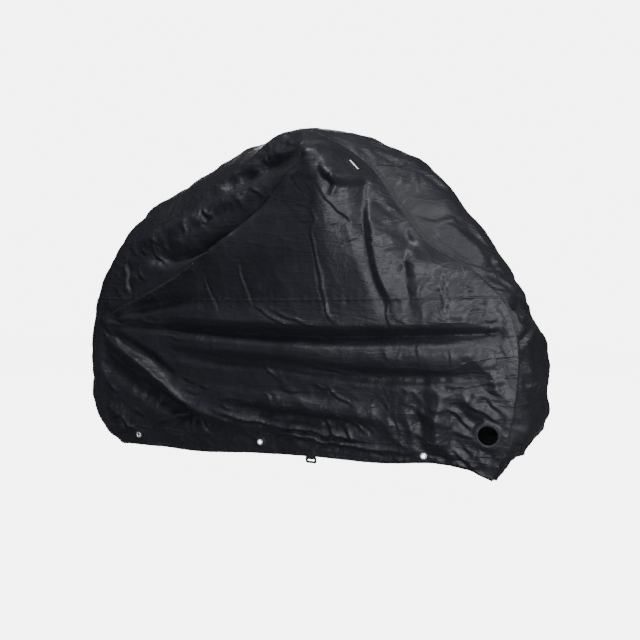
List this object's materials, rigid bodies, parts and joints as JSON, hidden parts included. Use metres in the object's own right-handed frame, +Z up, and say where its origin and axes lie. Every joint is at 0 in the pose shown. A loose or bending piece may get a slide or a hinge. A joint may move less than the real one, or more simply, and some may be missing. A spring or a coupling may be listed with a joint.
{
  "type": "bicycle cover",
  "caption": "Fitted bicycle rain cover in thin black coated cloth, hanging hollow in its folds, with hem eyelets, bound lock holes and a hem strap tab.",
  "frame": {"origin": "just under the top of the middle strip, where the cover is carried", "axes": "+X towards the bicycle's front wheel, +Y towards the far side, +Z up"},
  "size_m": [1.7924, 0.6186, 1.1718],
  "materials": {
    "side_cloth": "black coated cloth, soft sheen, creased",
    "strip_cloth": "black coated cloth, slightly browner",
    "eyelet_metal": "nickel plated",
    "binding_tape": "matte black woven tape",
    "webbing": "black webbing",
    "tag_plastic": "plain soft plastic patch",
    "buckle_plastic": "black moulded plastic"
  },
  "bodies": {
    "root": {"side_upper_near": "side_cloth", "side_upper_far": "side_cloth", "side_lower_near": "side_cloth", "side_lower_far": "side_cloth", "lock_corner_near": "side_cloth", "lock_corner_far": "side_cloth", "hem_strip_near": "side_cloth", "hem_strip_far": "side_cloth", "gusset_top": "strip_cloth", "gusset_front": "strip_cloth", "eyelet_near_1": "eyelet_metal", "eyelet_near_2": "eyelet_metal", "eyelet_near_3": "eyelet_metal", "eyelet_far_1": "eyelet_metal", "eyelet_far_2": "eyelet_metal", "eyelet_far_3": "eyelet_metal", "lock_binding_near": "binding_tape", "lock_binding_far": "binding_tape", "seam_tag": "tag_plastic", "strap_tab": "webbing", "strap_buckle": "buckle_plastic"}
  },
  "joints": []
}
